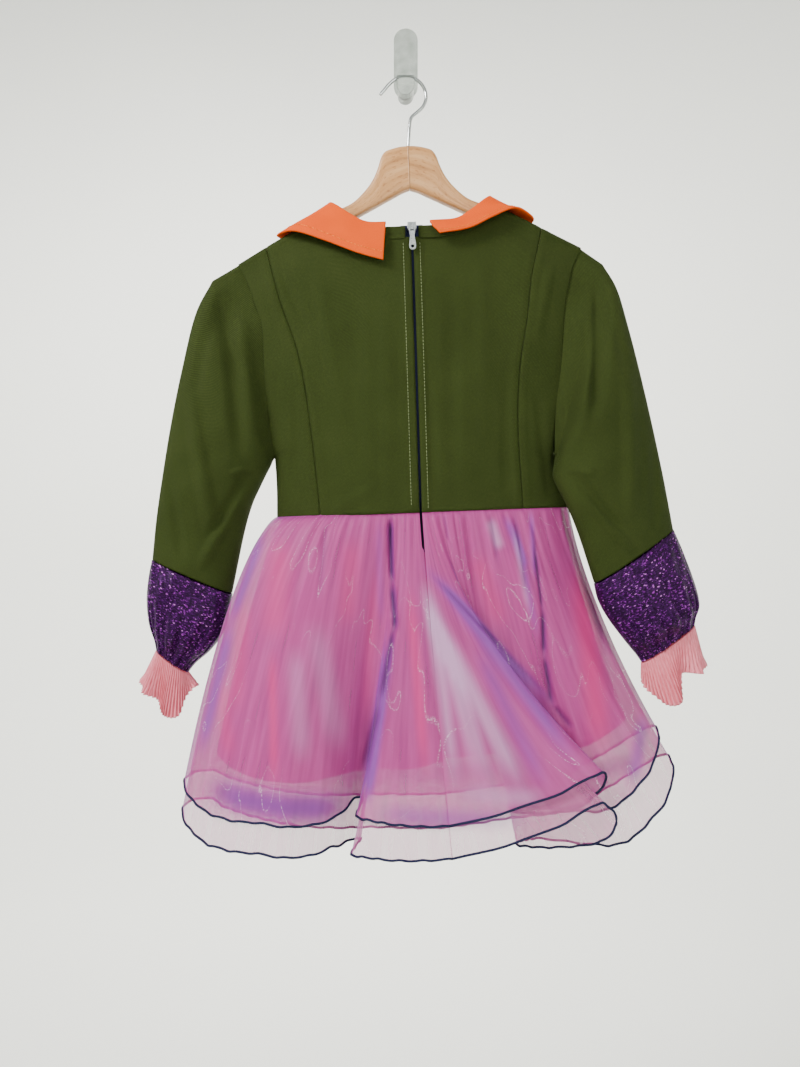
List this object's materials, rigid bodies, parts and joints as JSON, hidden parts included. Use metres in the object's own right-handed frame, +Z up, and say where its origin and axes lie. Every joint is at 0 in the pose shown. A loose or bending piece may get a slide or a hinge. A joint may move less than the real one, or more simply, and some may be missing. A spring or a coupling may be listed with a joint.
{
  "type": "hatter costume dress on a wooden hanger with a wall hook",
  "caption": "Child's hatter costume dress with collar, long cuffed sleeves and a layered flared skirt, hung back outwards on a wooden hanger from a wall hook.",
  "frame": {"origin": "on the wall plane, on the flat back of the wall hook, level with the cup that carries the hanger's wire", "axes": "+Z up, +X to the right for someone facing the wall, +Y into the wall; the dress hangs at y below 0 with its zipped back facing -Y"},
  "size_m": [0.5612, 0.1097, 0.8321],
  "materials": {
    "green_twill": "matt woven twill, olive green",
    "orange_felt": "matt brushed woven cloth, orange",
    "purple_lurex": "glittering metallic-thread knit, purple",
    "pink_plisse": "fine heat-set pleats, light pink",
    "pink_satin": "soft satin sheen, pink",
    "organza": "sheer crisp organza with a purple and pink shimmer",
    "zip_tape": "woven tape, navy",
    "zip_metal": "polished silver",
    "beech": "clear satin lacquer on pale beech",
    "chrome_wire": "polished",
    "clear_plastic": "clear, glossy"
  },
  "bodies": {
    "costume": {"back_panel_left": "green_twill", "back_panel_right": "green_twill", "side_panel_left": "green_twill", "side_panel_right": "green_twill", "front_panel": "green_twill", "neck_band": "green_twill", "collar_left": "orange_felt", "collar_right": "orange_felt", "sleeve_left": "green_twill", "sleeve_right": "green_twill", "cuff_left": "purple_lurex", "cuff_right": "purple_lurex", "ruffle_left": "pink_plisse", "ruffle_right": "pink_plisse", "organza_over": "organza", "organza_under": "organza", "skirt_lining": "pink_satin", "zip_tape": "zip_tape", "zip_slider": "zip_metal", "hanger_arm_left": "beech", "hanger_arm_right": "beech", "hanger_hook_wire": "chrome_wire", "wall_hook": "clear_plastic"},
    "pull_tab": {"zip_pull_tab": "zip_metal"}
  },
  "joints": [
    {"name": "pull_tab_hinge", "type": "hinge", "parent": "costume", "child": "pull_tab", "pos_m": [0.0067, -0.0509, -0.16673], "axis": [0.9992, 0, 0.0401], "range_deg": [-170, 0]}
  ]
}
